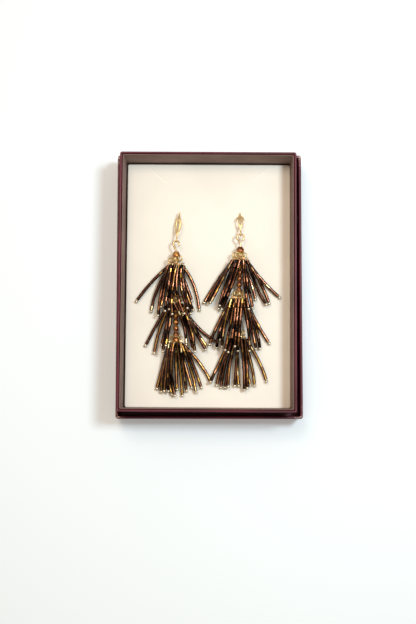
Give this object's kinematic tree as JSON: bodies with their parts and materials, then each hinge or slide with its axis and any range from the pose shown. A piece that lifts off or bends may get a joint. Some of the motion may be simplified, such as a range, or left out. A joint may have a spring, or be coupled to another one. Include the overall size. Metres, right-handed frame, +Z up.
{
  "type": "pair of beaded tassel earrings in a gift box",
  "caption": "Pair of tiered bead tassel earrings with gold bead caps and ear hooks, lying on the padded insert of an open gift box that stands in its lid.",
  "frame": {"origin": "middle of the lid's underside, on the surface that the box lies on", "axes": "+Z up out of the open box, +Y along the box's long side towards the ear hooks, +X to the right seen from above"},
  "size_m": [0.0888, 0.127, 0.0279],
  "materials": {
    "maroon_paper": "dark maroon paper with a soft sheen over board",
    "taupe_lining": "matt paper",
    "cream_card": "matt smooth card over padding",
    "gold": "bright gold plating",
    "amber_glass": "faceted, deep amber",
    "bronze_beads": "lustrous bronze-brown glass glaze"
  },
  "bodies": {
    "root": {"lid_shell": "maroon_paper", "tray_shell": "maroon_paper", "tray_lining": "taupe_lining", "insert_pad": "cream_card", "left_ear_hook": "gold", "left_eye_pin": "gold", "left_top_bead": "amber_glass", "left_cap_1": "gold", "left_cap_2": "gold", "left_cap_3": "gold", "left_bead_column_1": "amber_glass", "left_bead_column_2": "amber_glass", "left_end_bead": "amber_glass", "left_fringe_1": "bronze_beads", "left_fringe_2": "bronze_beads", "left_fringe_3": "bronze_beads", "right_ear_hook": "gold", "right_eye_pin": "gold", "right_top_bead": "amber_glass", "right_cap_1": "gold", "right_cap_2": "gold", "right_cap_3": "gold", "right_bead_column_1": "amber_glass", "right_bead_column_2": "amber_glass", "right_end_bead": "amber_glass", "right_fringe_1": "bronze_beads", "right_fringe_2": "bronze_beads", "right_fringe_3": "bronze_beads"}
  },
  "joints": []
}
